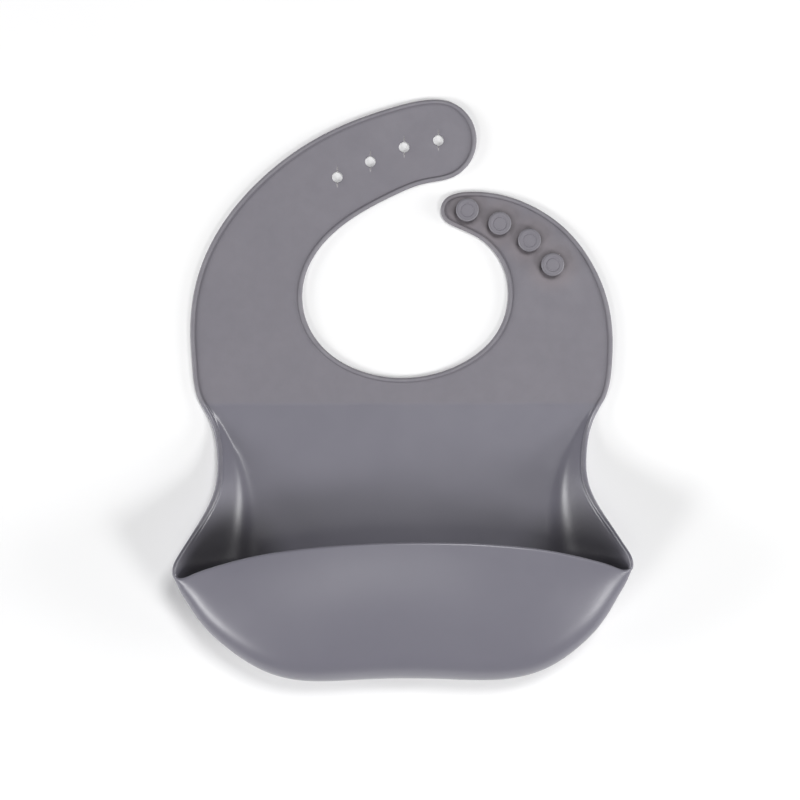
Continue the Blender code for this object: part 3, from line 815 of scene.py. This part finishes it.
def consistent(mesh):
    """Turns a closed mesh's faces outward."""
    work = bmesh.new()
    work.from_mesh(mesh)
    bmesh.ops.recalc_face_normals(work, faces=work.faces)
    work.to_mesh(mesh)
    work.free()


def set_rest(mesh, **distances):
    """Keeps where each point is at rest, and its distances from lines, for the materials."""
    places = np.zeros(len(mesh.vertices) * 3, dtype=np.float32)
    mesh.vertices.foreach_get("co", places)
    rest = mesh.attributes.new("rest", "FLOAT_VECTOR", "POINT")
    rest.data.foreach_set("vector", places)
    for name, values in distances.items():
        distance = mesh.attributes.new(name, "FLOAT", "POINT")
        distance.data.foreach_set("value", np.array(values, dtype=np.float32))


def skin_pieces(sheet):
    """The sheet's pieces as mesh objects, shaded as one unbroken surface."""
    group = face_groups(sheet)
    whole, whole_sides, _ = thick_mesh(sheet, range(len(sheet.faces)), "whole")
    consistent(whole)
    whole_normals = {key: whole.vertices[i].normal.copy() for key, i in whole_sides.items()}
    bpy.data.meshes.remove(whole)

    centres = np.array([np.mean([sheet.points[i] for i in face], axis=0) for face in sheet.faces])
    on_table = centres[:, 2] < ON_TABLE
    made = {}
    for name, (seed, *_) in PIECES.items():
        away = np.where(on_table, np.hypot(*(centres[:, :2] - seed).T), np.inf)
        chosen = group[int(np.argmin(away))]
        numbers = [i for i, number in enumerate(group) if number == chosen]
        mesh, sides, skin_count = thick_mesh(sheet, numbers, name)
        consistent(mesh)
        keys = list(sides)
        set_rest(mesh, edge_distance=[sheet.edge_distance[i] for i, _ in keys],
                 parting_distance=[sheet.parting_distance[i] for i, _ in keys],
                 inner_side=[float(top) for _, top in keys])
        mesh.shade_smooth()
        normals = []
        for polygon in mesh.polygons:
            for i in polygon.vertices:
                on_skin = polygon.index < skin_count
                normal = whole_normals[keys[i]] if on_skin else polygon.normal
                normals.append(tuple(normal.normalized()))
        mesh.normals_split_custom_set(normals)
        made[name] = placed(name, mesh)
    return made


# ---- studs

def rounded(profile, rounding):
    """A profile with each inner corner replaced with a short curve."""
    profile = np.array(profile)
    points = [profile[0]]
    for before, corner, after in zip(profile, profile[1:], profile[2:]):
        sides = (before - corner, after - corner)
        reach = min(rounding, *(np.linalg.norm(side) * 0.45 for side in sides))
        start, end = (corner + unit(side) * reach for side in sides)
        for t in np.linspace(0.0, 1.0, 5):
            points.append((1 - t) ** 2 * start + 2 * t * (1 - t) * corner + t**2 * end)
    points.append(profile[-1])
    return points


def turned(name, profile, centre):
    """A mesh object turned from a profile, top first, about an upright line."""
    mesh = bpy.data.meshes.new(name)
    corners = [(float(out) * MM, 0.0, float(height) * MM) for out, height in profile]
    mesh.from_pydata(corners, [(i, i + 1) for i in range(len(corners) - 1)], [])
    thing = placed(name, mesh)
    turn = thing.modifiers.new("turn", "SCREW")
    turn.steps = turn.render_steps = STUD_SIDES
    turn.use_merge_vertices = True
    turn.merge_threshold = 1e-6
    evaluated = thing.evaluated_get(bpy.context.evaluated_depsgraph_get())
    solid = bpy.data.meshes.new_from_object(evaluated)
    thing.modifiers.clear()
    thing.data = solid
    bpy.data.meshes.remove(mesh)
    solid.name = name
    solid.transform(Matrix.Translation((*centre, 0.0)))
    consistent(solid)
    solid.shade_smooth()
    return thing


def stud(node):
    """A mushroom stud in the place of its CAD node: flared stem, and a cap with a plain ring."""
    low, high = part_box(node)
    centre = (low + high) / 2.0
    radius = (high.x - low.x) / 2.0 / MM
    top = high.z / MM
    underside = top - CAP_THICKNESS
    foot = low.z / MM - FOOT_DEPTH
    profile = [(radius * share, top - depth) for share, depth in CAP_TOP]
    profile += [(radius * share, underside + height) for share, height in CAP_BELOW]
    profile += [(out, underside + height) for out, height in STEM_TOP]
    profile += [(out, foot + height) for out, height in STEM]
    thing = turned(node + "_skin", rounded(profile, STUD_ROUNDING), (centre.x, centre.y))
    # the cap's round edge gets the paler colour: partly wear, partly a painted highlight
    rubbed = []
    for vertex in thing.data.vertices:
        out = (vertex.co - centre).xy.length / MM
        from_edge = math.hypot(out - radius + 0.25, vertex.co.z / MM - top + 0.2)
        rubbed.append(RUBBED_DISTANCE + 2.0 * from_edge)
    set_rest(thing.data, edge_distance=rubbed, parting_distance=[FAR] * len(rubbed),
             inner_side=[0.0] * len(rubbed))
    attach(thing, STUD_BODIES[node])
    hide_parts(node)
    return thing


# ---- materials

class Nodes:
    """Short ways to add and join the nodes of one material."""

    def __init__(self, name):
        self.material = bpy.data.materials.new(name)
        self.material.use_nodes = True
        self.tree = self.material.node_tree
        self.shader = self.tree.nodes["Principled BSDF"]

    def value(self, socket, content):
        if isinstance(content, bpy.types.NodeSocket):
            self.tree.links.new(content, socket)
        else:
            socket.default_value = content

    def surface(self, settings):
        """The material, with these inputs of its shader."""
        for name, content in settings.items():
            self.value(self.shader.inputs[name], content)
        return self.material

    def add(self, kind, output=0, settings=None, **inputs):
        node = self.tree.nodes.new(kind)
        for name, setting in (settings or {}).items():
            setattr(node, name, setting)
        for name, content in inputs.items():
            key = int(name[1:]) if name[0] == "i" and name[1:].isdigit() else name.replace("_", " ")
            self.value(node.inputs[key], content)
        return node.outputs[output]

    def math(self, operation, a, b=0.0, c=0.0):
        return self.add("ShaderNodeMath", settings={"operation": operation}, i0=a, i1=b, i2=c)

    def times(self, a, b):
        return self.math("MULTIPLY", a, b)

    def attribute(self, name, output):
        """A mesh attribute, as a vector from output 1 or as a number from output 2."""
        return self.add("ShaderNodeAttribute", output=output, settings={"attribute_name": name})

    def mapped(self, value, low, high, to_low=0.0, to_high=1.0):
        return self.add("ShaderNodeMapRange", settings={"interpolation_type": "SMOOTHSTEP"},
                        i0=value, i1=low, i2=high, i3=to_low, i4=to_high)

    def within(self, length, reach):
        """1 up to the first distance, and 0 beyond the second, both in millimetres."""
        return self.mapped(length, reach[1] * MM, reach[0] * MM)

    def patchy(self, noise, low, high):
        """Noise spread over a range, so that it has patches near both ends."""
        return self.mapped(noise, 0.3, 0.7, low, high)

    def noise(self, place, size, detail=2.0, roughness=0.5):
        """Noise whose blotches are about size millimetres across."""
        return self.add("ShaderNodeTexNoise", Vector=place, Scale=1.0 / (size * MM),
                        Detail=detail, Roughness=roughness)

    def mix(self, share, a, b):
        """From colour a to colour b."""
        a, b = ((*colour, 1.0) if isinstance(colour, tuple) else colour for colour in (a, b))
        return self.add("ShaderNodeMix", 2, {"data_type": "RGBA"}, i0=share, i6=a, i7=b)

    def between(self, share, a, b):
        """From number a to number b."""
        return self.add("ShaderNodeMix", settings={"data_type": "FLOAT"}, i0=share, i2=a, i3=b)


def close_to(n, place, points, reach):
    """1 within the first distance of any of the points, and 0 beyond the second."""
    nearest = 1.0
    for point in points:
        away = n.add("ShaderNodeVectorMath", output=1, settings={"operation": "DISTANCE"},
                     i0=place, i1=tuple(point))
        nearest = n.math("MINIMUM", away, nearest)
    return n.within(nearest, reach)


def stretched_slits(n, x, y):
    """1 on the two slits of each button hole, where pale colour is painted as light over the slits'
    shaded walls.
    """
    marks = 0.0
    for hole_x, hole_y in HOLES:
        across = n.math("ABSOLUTE", n.math("SUBTRACT", x, hole_x * MM))
        along = n.math("ABSOLUTE", n.math("SUBTRACT", y, hole_y * MM))
        mark = n.times(n.within(across, SLIT_REACH[0]), n.within(along, SLIT_REACH[1]))
        marks = n.math("MAXIMUM", mark, marks)
    return marks


def dust(n, place):
    """1 on sparse specks, in cells of 9 mm, of which one in five has one."""
    cells = n.add("ShaderNodeTexVoronoi", Vector=place, Scale=1.0 / (9.0 * MM)).node
    chosen = n.add("ShaderNodeSeparateColor", i0=cells.outputs["Color"])
    radius = n.mapped(chosen, 0.80, 1.0, 0.0, 0.035)
    return n.mapped(n.math("SUBTRACT", radius, cells.outputs["Distance"]), 0.0, 0.012)


def silicone_masks(n):
    """Places at rest, and where each finish, each trace of use and each painted shade, shadow and
    light is, from 0 to 1.
    """
    m = SimpleNamespace(rest=n.attribute("rest", 1))
    distance, parting, inner_side = (
        n.attribute(name, 2) for name in ("edge_distance", "parting_distance", "inner_side"))
    x, y, z = (n.add("ShaderNodeSeparateXYZ", output=i, i0=m.rest) for i in range(3))

    # The line between the finishes is a little uneven
    wander = n.math("MULTIPLY_ADD", n.noise(m.rest, 14.0), 1.2 * MM, -0.6 * MM)
    m.matte = n.mapped(n.math("ADD", y, wander), (FINISH_LINE_Y - FINISH_BLEND) * MM,
                       (FINISH_LINE_Y + FINISH_BLEND) * MM)

    # On the strap round the studs: handling marks, and painted shadow close to the stems
    studs = [sum(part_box(node), Vector()) / 2.0 for node in STUD_BODIES]
    on_strap = n.within(z, STRAP_TOP)
    m.handled = n.times(close_to(n, m.rest, studs, HANDLED_REACH), on_strap)
    grime = n.times(close_to(n, m.rest, studs, GRIME_REACH), on_strap)
    m.grime = n.times(grime, n.patchy(n.noise(m.rest, 5.0, 3.0), 0.5, 1.0))

    # Painted shade in the pocket's deep corners, on the sheet's inner side; darker in the left one
    residue = n.times(close_to(n, m.rest, RESIDUE_PLACES, RESIDUE_REACH), inner_side)
    m.residue = n.times(residue, n.mapped(x, -40.0 * MM, 40.0 * MM, 0.95, 0.8))

    # The rim's crest is rubbed and painted lighter as a highlight, its groove gets painted shade, and
    # the slits get painted light
    crest = n.times(n.mapped(distance, -0.2, 0.5), n.mapped(distance, 2.2, 1.6))
    m.worn = n.times(crest, n.mapped(n.noise(m.rest, 9.0, 3.0), 0.35, 0.7, 0.3, 1.0))
    m.groove = n.times(n.mapped(distance, 2.05, 2.25), n.mapped(distance, 2.8, 2.5))
    m.slits = stretched_slits(n, x, y)
    m.flash = n.mapped(parting, *FLASH_REACH[::-1])
    m.dust = dust(n, m.rest)
    m.grain = n.noise(m.rest, 0.7, 3.0, 0.6)
    return m


def silicone_colour(n, m):
    """Cloudy pigment, with the traces of use, and the painted shade, shadows and light, over it."""
    cloud = n.patchy(n.noise(m.rest, 38.0, 3.0, 0.55), 0.0, 1.0)
    colour = n.mix(m.matte, n.mix(cloud, *LOWER_PIGMENTS), n.mix(cloud, *UPPER_PIGMENTS))
    # painted shadow round the studs goes on after the handling marks
    for mask, share, tint in ((m.handled, 0.8, HANDLED), (m.grime, 1.0, GRIME)):
        colour = n.mix(n.times(mask, share), colour, tint)
    fleck = n.patchy(n.noise(m.rest, 6.0, 4.0, 0.6), -1.0, 1.0)
    tone = n.math("MULTIPLY_ADD", fleck, n.between(m.matte, 0.005, 0.02), 1.0)
    colour = n.add("ShaderNodeVectorMath", settings={"operation": "SCALE"}, i0=colour, i3=tone)
    # painted shade in the pocket's corners and the rim's groove, painted light on the slits and a
    # painted highlight on the rubbed rim, with real dust and flash
    marks = (
        (m.residue, 1.0, RESIDUE), (m.dust, 0.45, DUST), (m.worn, 0.55, RUBBED),
        (m.groove, 0.35, GROOVE), (m.slits, 0.7, WHITENED), (m.flash, 0.4, FLASH),
    )
    for mask, share, tint in marks:
        colour = n.mix(n.times(mask, share), colour, tint)
    return colour


def silicone_roughness(n, m):
    """Cloudy, and smoother on the satin part and on the worn rim."""
    smear = n.noise(m.rest, 16.0, 5.0, 0.6)
    satin = n.patchy(smear, SATIN_ROUGHNESS - 0.015, SATIN_ROUGHNESS + 0.025)
    matte = n.patchy(smear, MATTE_ROUGHNESS - 0.05, MATTE_ROUGHNESS + 0.07)
    rough = n.between(m.matte, satin, matte)
    rough = n.math("ADD", rough, n.times(m.matte, n.patchy(m.grain, -0.03, 0.03)))
    return n.math("SUBTRACT", rough, n.times(m.worn, 0.08))


def silicone_relief(n, m):
    """Fine blasted grain on the matte part, and the soft sheet's slow unevenness."""
    slow = n.times(n.noise(m.rest, 26.0, 2.0, 0.4), n.between(m.matte, 0.06, 0.2))
    height = n.math("ADD", slow, n.times(m.matte, n.times(m.grain, 0.03)))
    for mask, rise in ((m.dust, 0.08), (m.flash, 0.12)):
        height = n.math("ADD", height, n.times(mask, rise))
    return n.add("ShaderNodeBump", Strength=1.0, Distance=1.0 * MM, Height=height)


def silicone():
    """Grey silicone: matte and blotchy in the upper part, cooler and satin in the lower."""
    n = Nodes("silicone")
    masks = silicone_masks(n)
    return n.surface({
        "Base Color": silicone_colour(n, masks),
        "Roughness": silicone_roughness(n, masks),
        "Normal": silicone_relief(n, masks),
        "IOR": 1.46,
        "Specular IOR Level": n.between(masks.matte, 0.8, 0.5),
        "Sheen Weight": 0.05,
        "Sheen Roughness": 0.5,
    })


def floor_material():
    """Pale, faintly uneven table."""
    n = Nodes("pale_table")
    place = n.add("ShaderNodeTexCoord", output=3)
    cloud = n.patchy(n.noise(place, 180.0), 0.0, 1.0)
    return n.surface({
        "Base Color": n.mix(cloud, *FLOOR_PIGMENTS),
        "Roughness": n.patchy(n.noise(place, 4.0, 3.0), 0.75, 0.85),
        "Specular IOR Level": 0.1,
    })


# ---- stage, lights and camera

def make_floor():
    mesh = bpy.data.meshes.new("table_top")
    turns = np.linspace(0.0, math.tau, FLOOR_SIDES, endpoint=False)
    rim = [(FLOOR_RADIUS * math.cos(turn), FLOOR_RADIUS * math.sin(turn), 0.0) for turn in turns]
    mesh.from_pydata(rim, [], [tuple(range(FLOOR_SIDES))])
    thing = placed("table_top", mesh)
    mesh.materials.append(floor_material())


def softbox(name, bearing, elevation, distance, size, power):
    """A soft rectangular light that shines on the bib."""
    data = bpy.data.lights.new(name, "AREA")
    data.shape = "RECTANGLE"
    data.size, data.size_y = size
    data.energy = power
    around, up = math.radians(bearing), math.radians(elevation)
    heading = Vector((math.cos(around) * math.cos(up), math.sin(around) * math.cos(up), math.sin(up)))
    light = placed(name, data)
    light.location = Vector(LIGHT_TARGET) * MM + heading * distance
    light.rotation_euler = (-heading).to_track_quat("-Z", "Y").to_euler()


def make_world():
    """A faint even light, in a pale room."""
    world = bpy.data.worlds.new("studio")
    bpy.context.scene.world = world
    world.use_nodes = True
    tree = world.node_tree
    background = tree.nodes["Background"]
    background.inputs["Color"].default_value = (1.0, 1.0, 1.0, 1.0)
    strength = tree.nodes.new("ShaderNodeMapRange")
    strength.inputs["To Min"].default_value = WORLD_STRENGTH
    strength.inputs["To Max"].default_value = ROOM_BRIGHTNESS
    path = tree.nodes.new("ShaderNodeLightPath")
    tree.links.new(path.outputs["Is Camera Ray"], strength.inputs["Value"])
    tree.links.new(strength.outputs["Result"], background.inputs["Strength"])


def make_camera():
    data = bpy.data.cameras.new("above")
    data.sensor_width = SENSOR
    data.lens = SENSOR * CAMERA_PLACE[2] / CAMERA_FIELD
    data.clip_start = 0.01
    data.clip_end = 20.0
    camera = placed("above", data)
    camera.location = Vector(CAMERA_PLACE) * MM
    bpy.context.scene.camera = camera


# ---- putting it together

def hang_on_frame(pieces, rubber):
    for name, thing in pieces.items():
        _, joint_name, reach, nodes = PIECES[name]
        thing.data.materials.append(rubber)
        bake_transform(thing)
        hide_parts(*nodes)


def main():
    bpy.context.scene.view_settings.view_transform = "Standard"
    rubber = silicone()
    hang_on_frame(skin_pieces(build_sheet()), rubber)
    for node in STUD_BODIES:
        thing = stud(node)
        thing.data.materials.append(rubber)
    make_floor()
    make_world()
    for name, setup in SOFTBOXES.items():
        softbox(name, *setup)
    make_camera()


main()
